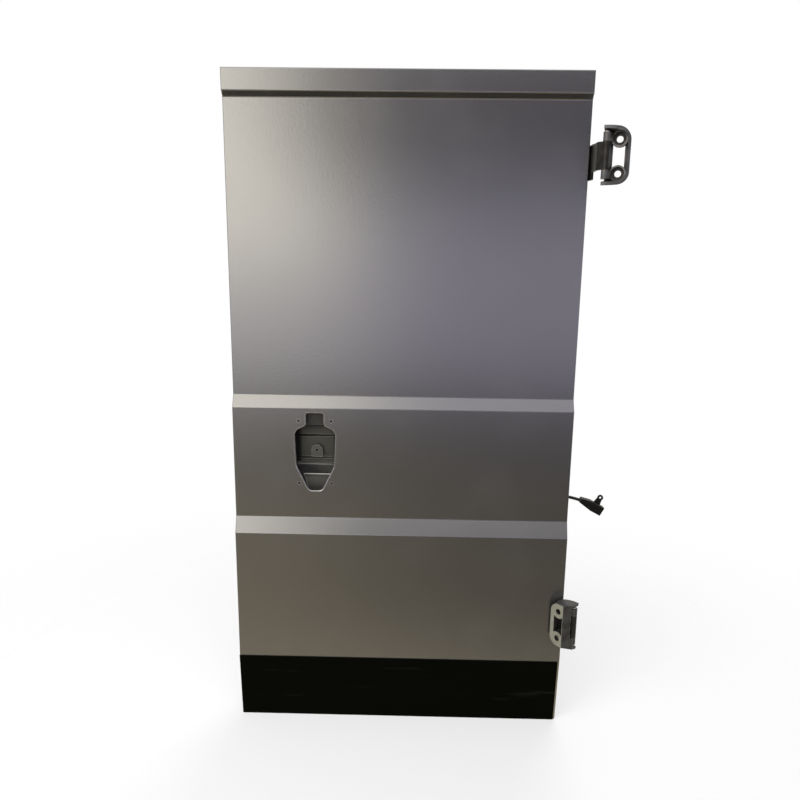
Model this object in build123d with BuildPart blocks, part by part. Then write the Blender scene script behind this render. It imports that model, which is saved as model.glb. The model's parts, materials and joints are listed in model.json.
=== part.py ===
"""Rear barn door of a campervan: pressed skin on an inner panel, two swinging hinge leaves and a harness stub."""

import os
from math import cos, radians, sin, tan

from build123d import *

os.makedirs("parts", exist_ok=True)

# Overall door, in millimetres. X runs towards the hinge side, Y into the van, Z up.
DOOR_WIDTH = 800.0
DOOR_HEIGHT = 1548.0
DOOR_DEPTH = 92.0
SHEET = 0.8

# Heights on the outer skin, from the door's bottom edge
MOULDING_TOP = 172.0
LOW_LEDGE_BOTTOM = 498.0
LOW_LEDGE_TOP = 536.0
WAIST_LEDGE_BOTTOM = 806.0
WAIST_LEDGE_TOP = 833.0

# Head strip and the groove under it, measured down from the door's top edge
HEAD_STRIP = 46.0
GROOVE_HEIGHT = 12.0

# How far each band of the skin lies behind the lower panel's face
FOOT_SETBACK = 15.0
MIDDLE_SETBACK = 14.0
UPPER_SETBACK = 28.0
HEAD_SETBACK = 18.0
SKIN_RETURN = 12.0
SKIN_EDGE = 2.5
ROLL_DEPTH = 6.0
ROLL_BEND = 2.2
ROLL_GAP = 0.3
TOUCH = 0.01
HEM_WIDTH = 9.0
LEDGE_RADIUS = 5.0

# Inner panel
WALL_INSET = 14.0
PANEL_CORNER = 45.0
PANEL_EDGE_RADIUS = 8.0
APERTURE_MARGIN = 95.0
APERTURE_CORNER = 40.0
UPPER_APERTURE_BOTTOM = 890.0
UPPER_APERTURE_DROP = 118.0
LOWER_APERTURE_BOTTOM = 150.0
LOWER_APERTURE_TOP = 500.0
LOCK_WINDOW_WIDTH = 150.0
LOCK_WINDOW_HEIGHT = 140.0
LOCK_WINDOW_OFFSET = 160.0
BEAD_WIDTH = 18.0
BEAD_DEPTH = 5.0
BEAD_DRAFT = 30.0
BEAD_FROM_APERTURE = 36.0
SEAM_FROM_APERTURE = 90.0
CLIP_HOLE_RADIUS = 4.0
CLIP_FROM_APERTURE = 12.0
CLIP_ROWS = 4
DRAIN_LENGTH = 24.0
DRAIN_WIDTH = 8.0
DRAIN_COUNT = 3
ACCESS_HOLE_RADIUS = 45.0

# Stiffeners behind the skin
RAIL_HEIGHT = 56.0
RAIL_CROWN = 30.0
RAIL_DEPTH = 20.0
RAIL_SHEET = 1.0
RAIL_GAP = 0.6
WAIST_RAIL_Z = 862.0
LOWER_RAIL_Z = 400.0

# Lower moulding
MOULDING_THICKNESS = 2.6
MOULDING_SIDE_GAP = 5.0

# Handle opening
HANDLE_FROM_HINGE_EDGE = 606.0
HANDLE_TOP = 793.0
HANDLE_BOTTOM = 604.0
NECK_HALF_WIDTH = 20.0
NECK_HEIGHT = 30.0
GRIP_HALF_WIDTH = 48.0
GRIP_TOP_DROP = 43.0
GRIP_TAPER = 3.5
GRIP_BOTTOM_RISE = 60.0
TIP_HALF_WIDTH = 15.0
NECK_ROUND = 4.5
NECK_FLARE = 12.0
SHOULDER_ROUND = 18.0
TIP_ROUND = 12.0
HANDLE_SCREW_RADIUS = 2.6
HANDLE_SCREW_HALF_WIDTH = 38.5
HANDLE_SCREW_INSET = 18.0
CARRIER_SHEET = 1.5
CARRIER_BORDER = 10.0
SCOOP_DEPTH = 34.0
SCOOP_SLOPE = 0.25
LOCK_SHEET = 2.0
LOCK_NECK_DEPTH = 11.0
LOCK_DEPTH = 42.0
TAB_WIDTH = 26.0
TAB_HEIGHT = 30.0
TAB_STAND_OFF = 7.0
TAB_HOLE_RADIUS = 3.6
TAB_RISE = 14.0
SLOT_PLACES = (0.1, 0.66)
SLOT_HEIGHT = 5.0
SLOT_MARGIN = 12.0

# Hinges
UPPER_HINGE_DROP = 179.0
LOWER_HINGE_Z = 288.0
PIN_OUT = 30.0
PIN_SIDE = 19.5
PIN_RADIUS = 4.5
PIN_FIT = 0.03
PIN_RUNNING = 0.05
KNUCKLE_RADIUS = 7.5
ARM_KNUCKLE_HALF = 28.5
BUSH_FLANGE = 0.8
KNUCKLE_GAP = 0.3
KNUCKLE_END = 47.0
BUSH_WALL = 1.2
BUSH_LENGTH = 14.0
PIN_HEAD = 2.0
PIN_HEAD_LIP = 1.5
UPPER_LEAF_TURN = 20.0
LOWER_LEAF_TURN = 231.0

# Hinge leaf: reach is measured from the pin along the mounting face
LEAF_REACH = 47.0
PAD_HEIGHT = 109.0
LEAF_DRAFT = 10.0
LEAF_NEAR = 6.0
PAD_NEAR = 11.0
LEAF_EDGE = 1.5
LEAF_PLATE = 6.0
LEAF_RIM = 6.0
LEAF_TAIL = 6.0
LEAF_CORNER = 22.0
PIN_FROM_FACE = 28.0
NEAR_WALL_HEIGHT = 15.0
BOLT_REACH = 25.0
BOLT_SPACING = 70.0
BOLT_HOLE_RADIUS = 7.0
BOSS_RADIUS = 17.0
CUP_RADIUS = 13.5
CUP_FLOOR = 5.0
WINDOW_FAR = 36.5
BOSS_HEIGHT = 14.0
CROWN_HEIGHT = 28.0
KNUCKLE_WEB = 12.0

# Hinge arm on the door
ARM_SHEET = 5.0
ARM_CLEAR = 11.0
ARM_PLATE_LENGTH = 26.0
ARM_TOP = 30.0
ARM_BOTTOM = -44.0
ARM_BEND = 7.0
HEM_CLEAR = 4.0
ARM_BOLT_SPACING = 44.0
ARM_BOLT_RADIUS = 5.5
STIFFENER_PLATE = 3.0
STIFFENER_BORDER = 12.0

# Harness stub
HARNESS_Z = 584.0
HARNESS_DIAMETER = 7.0
GROMMET_RADIUS = 11.0
GROMMET_FLANGE = 3.0
CONNECTOR_LENGTH = 54.0
CONNECTOR_TAIL = 11.0
CONNECTOR_NOSE = 22.0
CONNECTOR_WIDTH = 18.0
CONNECTOR_DROP = 28.0
SOCKET_DEPTH = 9.0
SOCKET_WALL = 2.5
LUG_THICKNESS = 3.0
LUG_RADIUS = 7.0
LUG_HOLE_RADIUS = 2.7
LUG_STAND = 17.0
LUG_PLACE = 34.0
LUG_FLARE = 80.0
CONNECTOR_BACK = -6.0

# Heights that follow from the door's height
GROOVE_TOP = DOOR_HEIGHT - HEAD_STRIP
GROOVE_BOTTOM = GROOVE_TOP - GROOVE_HEIGHT
UPPER_APERTURE_TOP = DOOR_HEIGHT - UPPER_APERTURE_DROP
UPPER_RAIL_Z = (UPPER_APERTURE_BOTTOM + UPPER_APERTURE_TOP) / 2
UPPER_HINGE_Z = DOOR_HEIGHT - UPPER_HINGE_DROP

# The origin lies on the upper leaf's mounting face, midway up its far band, so the pin and the door follow from it
turn = radians(UPPER_LEAF_TURN)
FACE_REACH = (WINDOW_FAR + LEAF_REACH) / 2
PIN_X = -FACE_REACH * cos(turn) - PIN_FROM_FACE * sin(turn)
PIN_Y = FACE_REACH * sin(turn) - PIN_FROM_FACE * cos(turn)
EDGE_X = PIN_X - PIN_SIDE
LATCH_X = EDGE_X - DOOR_WIDTH
MIDDLE_X = EDGE_X - DOOR_WIDTH / 2
SKIN_Y = PIN_Y + PIN_OUT
INNER_Y = SKIN_Y + DOOR_DEPTH
FOOT_Z = -UPPER_HINGE_Z
HEAD_Z = FOOT_Z + DOOR_HEIGHT
WALL_X = EDGE_X - WALL_INSET
HANDLE_X = EDGE_X - HANDLE_FROM_HINGE_EDGE
BAND_Y = SKIN_Y + MIDDLE_SETBACK
KNUCKLE_START = ARM_KNUCKLE_HALF + BUSH_FLANGE + KNUCKLE_GAP


def skin_profile(shift):
    """Points of the door's side profile, bottom to top, moved into the door by shift."""
    steps = [
        (FOOT_SETBACK, 0.0),
        (0.0, MOULDING_TOP),
        (0.0, LOW_LEDGE_BOTTOM),
        (MIDDLE_SETBACK, LOW_LEDGE_TOP),
        (MIDDLE_SETBACK, WAIST_LEDGE_BOTTOM),
        (UPPER_SETBACK, WAIST_LEDGE_TOP),
        (UPPER_SETBACK, GROOVE_BOTTOM),
        (HEAD_SETBACK, GROOVE_TOP),
        (HEAD_SETBACK, DOOR_HEIGHT),
    ]
    return [(SKIN_Y + back + shift, FOOT_Z + height) for back, height in steps]


def on_outline(edge, inset):
    """Whether an edge runs along the door's outline drawn in by inset."""
    point = edge.center()
    side_gap = DOOR_WIDTH / 2 - inset - abs(point.X - MIDDLE_X)
    end_gap = DOOR_HEIGHT / 2 - inset - abs(point.Z - FOOT_Z - DOOR_HEIGHT / 2)
    return min(side_gap, end_gap) < TOUCH


def slab(front_shift, back_shift, inset, edge_radius=0.0):
    """Solid between two copies of the side profile, drawn in from the outline by inset, front edges rounded."""
    front = skin_profile(front_shift)
    back = skin_profile(back_shift)
    with BuildPart() as form:
        with BuildSketch(Plane.YZ.offset(LATCH_X + inset)):
            with BuildLine():
                Polyline(*front, *reversed(back), close=True)
            make_face()
        extrude(amount=DOOR_WIDTH - 2 * inset)
        ledges = form.edges().filter_by(Axis.X).filter_by(
            lambda edge: FOOT_Z + 1 < edge.center().Z < HEAD_Z - 1
        )
        fillet(ledges, LEDGE_RADIUS)
        split(bisect_by=Plane.XY.offset(FOOT_Z + inset), keep=Keep.TOP)
        split(bisect_by=Plane.XY.offset(HEAD_Z - inset), keep=Keep.BOTTOM)
        if edge_radius:
            front_faces = form.faces().filter_by(lambda face: face.normal_at().Y < -TOUCH)
            fillet(front_faces.edges().filter_by(lambda edge: on_outline(edge, inset)), edge_radius)
    return form.part


def outline_block(inset, corner, front_y, back_y, edge_radius=0.0):
    """Rounded-rectangle block over the door's outline, drawn in by inset, with its back edges rounded."""
    with BuildPart() as block:
        with BuildSketch(Plane.XZ.offset(-front_y)):
            with Locations((MIDDLE_X, FOOT_Z + DOOR_HEIGHT / 2)):
                RectangleRounded(DOOR_WIDTH - 2 * inset, DOOR_HEIGHT - 2 * inset, corner)
        extrude(amount=front_y - back_y)
        if edge_radius:
            fillet(block.faces().sort_by(Axis.Y)[-1].edges(), edge_radius)
    return block.part


def handle_outline(grow):
    """Face of the handle opening, grown by grow all round."""
    with BuildSketch() as opening:
        top = FOOT_Z + HANDLE_TOP
        bottom = FOOT_Z + HANDLE_BOTTOM
        right = [
            (NECK_HALF_WIDTH, top),
            (NECK_HALF_WIDTH, top - NECK_HEIGHT),
            (GRIP_HALF_WIDTH, top - GRIP_TOP_DROP),
            (GRIP_HALF_WIDTH - GRIP_TAPER, bottom + GRIP_BOTTOM_RISE),
            (TIP_HALF_WIDTH, bottom),
        ]
        left = [(-x, z) for x, z in reversed(right)]
        with BuildLine():
            Polyline(*[(HANDLE_X + x, z) for x, z in right + left], close=True)
        make_face()
        corner_rounds = [
            (top, NECK_ROUND),
            (top - NECK_HEIGHT, NECK_FLARE),
            (top - GRIP_TOP_DROP, SHOULDER_ROUND),
            (bottom + GRIP_BOTTOM_RISE, SHOULDER_ROUND),
            (bottom, TIP_ROUND),
        ]
        for level, radius in corner_rounds:
            fillet([v for v in opening.vertices() if abs(v.Y - level) < TOUCH], radius)
        if grow:
            offset(amount=grow, kind=Kind.ARC)
    return opening.sketch.face()


def across(face, front_y, back_y):
    """Prism of a face drawn in X and Z, running from front_y to back_y."""
    placed = Plane.XZ.offset(-front_y) * face
    return extrude(placed, amount=front_y - back_y)


# Outer skin: a pressed sheet with a folded return and hem all round
skin_outside = slab(0, SKIN_RETURN, 0, SKIN_EDGE)
skin_inside = slab(SHEET, SKIN_RETURN + SHEET, SHEET, SKIN_EDGE - SHEET)
hem_sheet = slab(SKIN_RETURN - SHEET, SKIN_RETURN, 0)
hem_gap = outline_block(HEM_WIDTH, PANEL_CORNER / 2, SKIN_Y - 1, INNER_Y)
handle_cut = across(handle_outline(0), SKIN_Y - 1, BAND_Y + SKIN_RETURN - SHEET)
handle_roll = across(handle_outline(SHEET), BAND_Y, BAND_Y + ROLL_DEPTH)
with BuildPart() as outer_skin:
    add(skin_outside)
    add(skin_inside, mode=Mode.SUBTRACT)
    add(hem_sheet - hem_gap)
    add(handle_roll)
    add(handle_cut, mode=Mode.SUBTRACT)
    for bend_y, bend_radius in ((BAND_Y, ROLL_BEND), (BAND_Y + SHEET, ROLL_BEND - SHEET)):
        bend = outer_skin.edges().filter_by_position(Axis.Y, bend_y - TOUCH, bend_y + TOUCH)
        handle_reach = GRIP_HALF_WIDTH + CARRIER_BORDER
        fillet(
            bend.filter_by_position(Axis.X, HANDLE_X - handle_reach, HANDLE_X + handle_reach), bend_radius
        )
    with BuildSketch(Plane.XZ.offset(-SKIN_Y)):
        for z in (HANDLE_TOP - HANDLE_SCREW_INSET, HANDLE_BOTTOM + HANDLE_SCREW_INSET):
            with Locations((HANDLE_X, FOOT_Z + z)):
                with GridLocations(2 * HANDLE_SCREW_HALF_WIDTH, 0, 2, 1):
                    Circle(HANDLE_SCREW_RADIUS)
    extrude(amount=-(MIDDLE_SETBACK + SKIN_RETURN - SHEET), mode=Mode.SUBTRACT)

# Inner panel: a flange behind the hem, walls set in from the edge, and a back with apertures
flange_sheet = slab(SKIN_RETURN, SKIN_RETURN + SHEET, SHEET)
hollow_inset = WALL_INSET + SHEET
hollow_corner = PANEL_CORNER - SHEET
flange_hole = outline_block(hollow_inset, hollow_corner, SKIN_Y - 1, INNER_Y)
wall_block = outline_block(WALL_INSET, PANEL_CORNER, SKIN_Y, INNER_Y, PANEL_EDGE_RADIUS)
wall_hollow = outline_block(
    hollow_inset, hollow_corner, SKIN_Y - 1, INNER_Y - SHEET, PANEL_EDGE_RADIUS - SHEET
)
front_waste = slab(-DOOR_DEPTH, SKIN_RETURN, -1)
harness_y = (BAND_Y + SKIN_RETURN + INNER_Y) / 2
aperture_width = DOOR_WIDTH - 2 * APERTURE_MARGIN
apertures = (
    (UPPER_APERTURE_BOTTOM, UPPER_APERTURE_TOP),
    (LOWER_APERTURE_BOTTOM, LOWER_APERTURE_TOP),
)


def beads(start_y, grow):
    """Tapered slots for the stiffening beads of the back, running in from start_y."""
    stile_span = DOOR_WIDTH - WALL_INSET - APERTURE_MARGIN
    with BuildPart() as slots:
        with BuildSketch(Plane.XZ.offset(-start_y)):
            for low, high in apertures:
                with Locations((MIDDLE_X, FOOT_Z + (low + high) / 2)):
                    with GridLocations(stile_span, 0, 2, 1):
                        SlotOverall(high - low - 2 * APERTURE_CORNER + grow, BEAD_WIDTH + grow, rotation=90)
            for height in (UPPER_APERTURE_BOTTOM - BEAD_FROM_APERTURE, LOWER_APERTURE_TOP + BEAD_FROM_APERTURE):
                with Locations((MIDDLE_X, FOOT_Z + height)):
                    SlotOverall(aperture_width - 2 * APERTURE_CORNER + grow, BEAD_WIDTH + grow)
        extrude(amount=BEAD_DEPTH, taper=BEAD_DRAFT)
    return slots.part


draft = radians(BEAD_DRAFT)
bead_backing = beads(INNER_Y - SHEET, 2 * SHEET * (1 - sin(draft)) / cos(draft))
bead_hollow = beads(INNER_Y, 0)
with BuildPart() as inner_panel:
    add(wall_block)
    add(wall_hollow, mode=Mode.SUBTRACT)
    add(front_waste, mode=Mode.SUBTRACT)
    add(flange_sheet - flange_hole)
    with BuildSketch(Plane.XZ.offset(-INNER_Y)):
        for low, high in apertures:
            with Locations((MIDDLE_X, FOOT_Z + (low + high) / 2)):
                RectangleRounded(aperture_width, high - low, APERTURE_CORNER)
                clip_rise = (high - low - 2 * APERTURE_CORNER) / (CLIP_ROWS - 1)
                with GridLocations(aperture_width + 2 * CLIP_FROM_APERTURE, clip_rise, 2, CLIP_ROWS):
                    Circle(CLIP_HOLE_RADIUS)
        lock_z = FOOT_Z + (HANDLE_TOP + HANDLE_BOTTOM) / 2
        with Locations((HANDLE_X + LOCK_WINDOW_OFFSET, lock_z)):
            RectangleRounded(LOCK_WINDOW_WIDTH, LOCK_WINDOW_HEIGHT, APERTURE_CORNER / 2)
        with Locations((EDGE_X - APERTURE_MARGIN - ACCESS_HOLE_RADIUS, lock_z)):
            Circle(ACCESS_HOLE_RADIUS)
    extrude(amount=DOOR_DEPTH / 3, both=True, mode=Mode.SUBTRACT)
    add(bead_backing)
    add(bead_hollow, mode=Mode.SUBTRACT)
    with BuildSketch(Plane.XY.offset(FOOT_Z + WALL_INSET - TOUCH)):
        with Locations((MIDDLE_X, harness_y)):
            with GridLocations(aperture_width / DRAIN_COUNT, 0, DRAIN_COUNT, 1):
                SlotOverall(DRAIN_LENGTH, DRAIN_WIDTH)
    extrude(amount=hollow_inset, mode=Mode.SUBTRACT)


def wall_holes(hinge_z):
    """Cylinders for the two arm bolts of one hinge, along X through the wall."""
    plate_y = INNER_Y - PANEL_EDGE_RADIUS - ARM_PLATE_LENGTH / 2
    with BuildPart() as drills:
        with BuildSketch(Plane.YZ.offset(WALL_X - 2 * WALL_INSET)):
            with Locations((plate_y, FOOT_Z + hinge_z + (ARM_TOP + ARM_BOTTOM) / 2)):
                with GridLocations(0, ARM_BOLT_SPACING, 1, 2):
                    Circle(ARM_BOLT_RADIUS)
        extrude(amount=4 * WALL_INSET)
    return drills.part


bolt_drills = wall_holes(UPPER_HINGE_Z) + wall_holes(LOWER_HINGE_Z)
with BuildPart() as harness_hole:
    with BuildSketch(Plane.YZ.offset(WALL_X - WALL_INSET)):
        with Locations((harness_y, FOOT_Z + HARNESS_Z)):
            Circle(GROMMET_RADIUS - GROMMET_FLANGE)
    extrude(amount=2 * WALL_INSET)
panel_sheet = inner_panel.part - bolt_drills - harness_hole.part
seam = Plane.XY.offset(FOOT_Z + UPPER_APERTURE_BOTTOM - SEAM_FROM_APERTURE)
upper_panel = split(panel_sheet, bisect_by=seam, keep=Keep.TOP)
lower_panel = split(panel_sheet, bisect_by=seam, keep=Keep.BOTTOM)


def stiffener(name, middle, setback):
    """Hat-section rail that bridges the two side walls behind the skin."""
    front = SKIN_Y + setback + SHEET + RAIL_GAP
    brim = (RAIL_HEIGHT - RAIL_CROWN) / 2
    inside = DOOR_WIDTH - 2 * WALL_INSET - 2 * SHEET
    with BuildPart() as rail:
        with BuildSketch(Plane.YZ.offset(LATCH_X + WALL_INSET + SHEET)):
            with BuildLine() as hat:
                Polyline(
                    (front + RAIL_DEPTH, FOOT_Z + middle - RAIL_HEIGHT / 2),
                    (front + RAIL_DEPTH, FOOT_Z + middle - RAIL_HEIGHT / 2 + brim),
                    (front, FOOT_Z + middle - RAIL_CROWN / 2 + brim / 2),
                    (front, FOOT_Z + middle + RAIL_CROWN / 2 - brim / 2),
                    (front + RAIL_DEPTH, FOOT_Z + middle + RAIL_HEIGHT / 2 - brim),
                    (front + RAIL_DEPTH, FOOT_Z + middle + RAIL_HEIGHT / 2),
                )
                offset(hat.line, RAIL_SHEET, side=Side.RIGHT)
            make_face()
        extrude(amount=inside)
    rail.part.label = name
    return rail.part


upper_rail = stiffener("upper_stiffener", UPPER_RAIL_Z, UPPER_SETBACK)
waist_rail = stiffener("waist_stiffener", WAIST_RAIL_Z, UPPER_SETBACK)
lower_rail = stiffener("lower_stiffener", LOWER_RAIL_Z, 0.0)

# Lower moulding: a strip that lies on the sloping foot of the skin
with BuildPart() as lower_moulding:
    with BuildSketch(Plane.YZ.offset(LATCH_X)):
        with BuildLine():
            Polyline(
                (SKIN_Y + FOOT_SETBACK, FOOT_Z),
                (SKIN_Y, FOOT_Z + MOULDING_TOP),
                (SKIN_Y - MOULDING_THICKNESS, FOOT_Z + MOULDING_TOP),
                (SKIN_Y + FOOT_SETBACK - MOULDING_THICKNESS, FOOT_Z),
                close=True,
            )
        make_face()
    extrude(amount=DOOR_WIDTH - MOULDING_SIDE_GAP)
    broad_faces = lower_moulding.faces().sort_by(SortBy.AREA)[-2:]
    fillet(broad_faces.sort_by(Axis.Y)[0].edges(), MOULDING_THICKNESS / 2)

# Handle carrier: a plate behind the opening, with a sloping finger scoop
carrier_front = BAND_Y + SHEET
carrier_back = carrier_front + CARRIER_SHEET
scoop_bottom = FOOT_Z + HANDLE_BOTTOM
scoop_top = scoop_bottom + GRIP_BOTTOM_RISE
carrier_plate = across(handle_outline(CARRIER_BORDER), carrier_front, carrier_back)
roll_clear = ROLL_BEND + ROLL_GAP
scoop_reach = roll_clear + CARRIER_SHEET
carrier_hole = across(handle_outline(roll_clear), carrier_front - 1, carrier_back + 1)
scoop_depth_y = carrier_front + SCOOP_DEPTH
scoop_mask = across(handle_outline(scoop_reach), carrier_front, scoop_depth_y)
scoop_space = across(handle_outline(roll_clear), carrier_front - 1, scoop_depth_y)
with BuildPart() as scoop_sheet:
    with BuildSketch(Plane.YZ.offset(HANDLE_X - GRIP_HALF_WIDTH - CARRIER_BORDER)):
        with BuildLine():
            start = (carrier_front, scoop_bottom - scoop_reach)
            bowl = TangentArc(start, (scoop_depth_y, scoop_top), tangent=(1, SCOOP_SLOPE))
            offset(bowl, CARRIER_SHEET, side=Side.LEFT)
        make_face()
    extrude(amount=2 * (GRIP_HALF_WIDTH + CARRIER_BORDER))
with BuildPart() as scoop_fill:
    with BuildSketch(Plane.YZ.offset(HANDLE_X - GRIP_HALF_WIDTH - CARRIER_BORDER)):
        with BuildLine():
            bowl = TangentArc(start, (scoop_depth_y, scoop_top), tangent=(1, SCOOP_SLOPE))
            Polyline(bowl @ 1, (carrier_front, scoop_top), bowl @ 0)
        make_face()
    extrude(amount=2 * (GRIP_HALF_WIDTH + CARRIER_BORDER))
scoop_walls = (scoop_mask - scoop_space) & scoop_fill.part
with BuildPart() as handle_carrier:
    add(carrier_plate - carrier_hole)
    add(scoop_sheet.part & scoop_mask)
    add(scoop_walls)
    with BuildSketch(Plane.XZ.offset(-carrier_front)):
        for z in (HANDLE_TOP - HANDLE_SCREW_INSET, HANDLE_BOTTOM + HANDLE_SCREW_INSET):
            with Locations((HANDLE_X, FOOT_Z + z)):
                with GridLocations(2 * HANDLE_SCREW_HALF_WIDTH, 0, 2, 1):
                    Circle(HANDLE_SCREW_RADIUS)
    extrude(amount=-CARRIER_SHEET, mode=Mode.SUBTRACT)

# Lock bracket: a stepped sheet behind the carrier with two slots and a bent tab
lock_top = FOOT_Z + HANDLE_TOP + CARRIER_BORDER
lock_width = 2 * (GRIP_HALF_WIDTH + CARRIER_BORDER)
neck_step = FOOT_Z + HANDLE_TOP - NECK_HEIGHT
with BuildPart() as lock_bracket:
    with BuildSketch(Plane.YZ.offset(HANDLE_X - lock_width / 2)):
        with BuildLine() as bend:
            Polyline(
                (carrier_back, lock_top),
                (carrier_back, lock_top - CARRIER_BORDER / 2),
                (carrier_back + LOCK_NECK_DEPTH, lock_top - CARRIER_BORDER),
                (carrier_back + LOCK_NECK_DEPTH, neck_step),
                (carrier_back + LOCK_DEPTH, neck_step - NECK_HEIGHT / 3),
                (carrier_back + LOCK_DEPTH, scoop_top),
            )
            offset(bend.line, LOCK_SHEET, side=Side.LEFT)
        make_face()
    extrude(amount=lock_width)
    slot_plane = Plane.XZ.offset(-(carrier_back + LOCK_DEPTH))
    with BuildSketch(slot_plane):
        for share in SLOT_PLACES:
            with Locations((HANDLE_X, scoop_top + share * (neck_step - scoop_top))):
                SlotOverall(lock_width - 2 * SLOT_MARGIN, SLOT_HEIGHT)
    extrude(amount=LOCK_SHEET * 2, both=True, mode=Mode.SUBTRACT)

# Lock tab: an upright ear with a hole, on a foot that is welded to the bracket
tab_front = carrier_back + LOCK_DEPTH - LOCK_SHEET - TAB_STAND_OFF
tab_foot = scoop_top + TAB_RISE
with BuildPart() as lock_tab:
    with BuildSketch(Plane.XZ.offset(-tab_front)):
        with Locations((HANDLE_X, tab_foot + (TAB_HEIGHT - TAB_WIDTH / 2) / 2)):
            Rectangle(TAB_WIDTH, TAB_HEIGHT - TAB_WIDTH / 2)
        with Locations((HANDLE_X, tab_foot + TAB_HEIGHT - TAB_WIDTH / 2)):
            Circle(TAB_WIDTH / 2)
            Circle(TAB_HOLE_RADIUS, mode=Mode.SUBTRACT)
    extrude(amount=-LOCK_SHEET)
    with BuildSketch(Plane.XY.offset(tab_foot)):
        with Locations((HANDLE_X, tab_front + (LOCK_SHEET + TAB_STAND_OFF) / 2)):
            Rectangle(TAB_WIDTH, LOCK_SHEET + TAB_STAND_OFF)
    extrude(amount=LOCK_SHEET)


def leaf_solid():
    """Cast leaf with its pin on Z, the mounting face on the far side of Y, bolt heads towards +Y."""
    face_y = -PIN_FROM_FACE
    floor_y = face_y + LEAF_PLATE
    near_x = -LEAF_NEAR
    wall_lean = (PAD_NEAR - near_x) / (PIN_FROM_FACE - KNUCKLE_RADIUS)
    floor_near = PAD_NEAR + LEAF_RIM - wall_lean * LEAF_PLATE
    wall_top_x = floor_near - wall_lean * (NEAR_WALL_HEIGHT - LEAF_PLATE)
    with BuildPart() as cover:
        with BuildSketch(Plane.XZ.offset(-face_y)) as d_shape:
            with Locations(((LEAF_REACH + near_x) / 2, 0)):
                Rectangle(LEAF_REACH - near_x, PAD_HEIGHT)
            fillet(d_shape.vertices().group_by(Axis.X)[-1], LEAF_CORNER)
        extrude(amount=-2 * PIN_FROM_FACE, taper=-LEAF_DRAFT)
        with BuildSketch(Plane.XY.offset(-PAD_HEIGHT)):
            with BuildLine():
                crown = ThreePointArc(
                    (near_x, KNUCKLE_RADIUS),
                    (BOLT_REACH, face_y + CROWN_HEIGHT),
                    (LEAF_REACH + LEAF_TAIL, face_y),
                )
                Polyline(
                    crown @ 1,
                    (PAD_NEAR, face_y),
                    (near_x, -KNUCKLE_RADIUS),
                    crown @ 0,
                )
            make_face()
        extrude(amount=2 * PAD_HEIGHT, mode=Mode.INTERSECT)
        crown_face = cover.faces().filter_by(GeomType.CYLINDER).sort_by(SortBy.AREA)[-1]
        fillet(crown_face.edges().filter_by(lambda edge: edge.center().X > near_x + 1), LEAF_EDGE)
    with BuildPart() as hollow:
        with BuildSketch(Plane.XZ.offset(-floor_y)) as inside:
            with Locations(((LEAF_REACH - LEAF_RIM + 2 * near_x) / 2, 0)):
                Rectangle(LEAF_REACH - LEAF_RIM - 2 * near_x, PAD_HEIGHT - 2 * LEAF_RIM)
            fillet(inside.vertices().group_by(Axis.X)[-1], LEAF_CORNER - LEAF_RIM)
        extrude(amount=-2 * PIN_FROM_FACE, taper=-LEAF_DRAFT)
        with BuildSketch(Plane.XY.offset(-PAD_HEIGHT)):
            with BuildLine():
                Polyline(
                    (floor_near, floor_y),
                    (LEAF_REACH, floor_y),
                    (LEAF_REACH, PIN_FROM_FACE),
                    (2 * near_x, PIN_FROM_FACE),
                    (2 * near_x, face_y + NEAR_WALL_HEIGHT),
                    (wall_top_x, face_y + NEAR_WALL_HEIGHT),
                    close=True,
                )
            make_face()
        extrude(amount=2 * PAD_HEIGHT, mode=Mode.INTERSECT)
    with BuildPart() as bosses:
        with BuildSketch(Plane.XZ.offset(-face_y)):
            with Locations((BOLT_REACH, 0)):
                with GridLocations(0, BOLT_SPACING, 1, 2):
                    Circle(BOSS_RADIUS)
        extrude(amount=-BOSS_HEIGHT)
        add(cover.part, mode=Mode.INTERSECT)
    with BuildPart() as casting:
        add(cover.part)
        add(hollow.part, mode=Mode.SUBTRACT)
        add(bosses.part)
        for side in (1, -1):
            with BuildSketch(Plane.XY.offset(side * KNUCKLE_END)):
                Circle(KNUCKLE_RADIUS)
                with BuildLine():
                    Polyline(
                        (near_x, 0),
                        (near_x, -KNUCKLE_RADIUS),
                        (PAD_NEAR, face_y),
                        (PAD_NEAR + LEAF_RIM, face_y),
                        (near_x + KNUCKLE_WEB, 0),
                        close=True,
                    )
                make_face()
            extrude(amount=-side * (KNUCKLE_END - KNUCKLE_START))
        with BuildSketch(Plane.XZ.offset(-face_y)):
            with Locations(((floor_near + WINDOW_FAR) / 2, 0)):
                Rectangle(WINDOW_FAR - floor_near, BOLT_SPACING)
            with Locations((BOLT_REACH, 0)):
                with GridLocations(0, BOLT_SPACING, 1, 2):
                    Circle(BOSS_RADIUS, mode=Mode.SUBTRACT)
        extrude(amount=-2 * PIN_FROM_FACE, mode=Mode.SUBTRACT)
        with BuildSketch(Plane.XZ.offset(-face_y)):
            with Locations((BOLT_REACH, 0)):
                with GridLocations(0, BOLT_SPACING, 1, 2):
                    Circle(BOLT_HOLE_RADIUS)
        extrude(amount=-CUP_FLOOR, mode=Mode.SUBTRACT)
        with BuildSketch(Plane.XZ.offset(-(face_y + CUP_FLOOR))):
            with Locations((BOLT_REACH, 0)):
                with GridLocations(0, BOLT_SPACING, 1, 2):
                    Circle(CUP_RADIUS)
        extrude(amount=-2 * PIN_FROM_FACE, mode=Mode.SUBTRACT)
        Cylinder(PIN_RADIUS + PIN_FIT, 2 * KNUCKLE_END, mode=Mode.SUBTRACT)
    return casting.part


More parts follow.
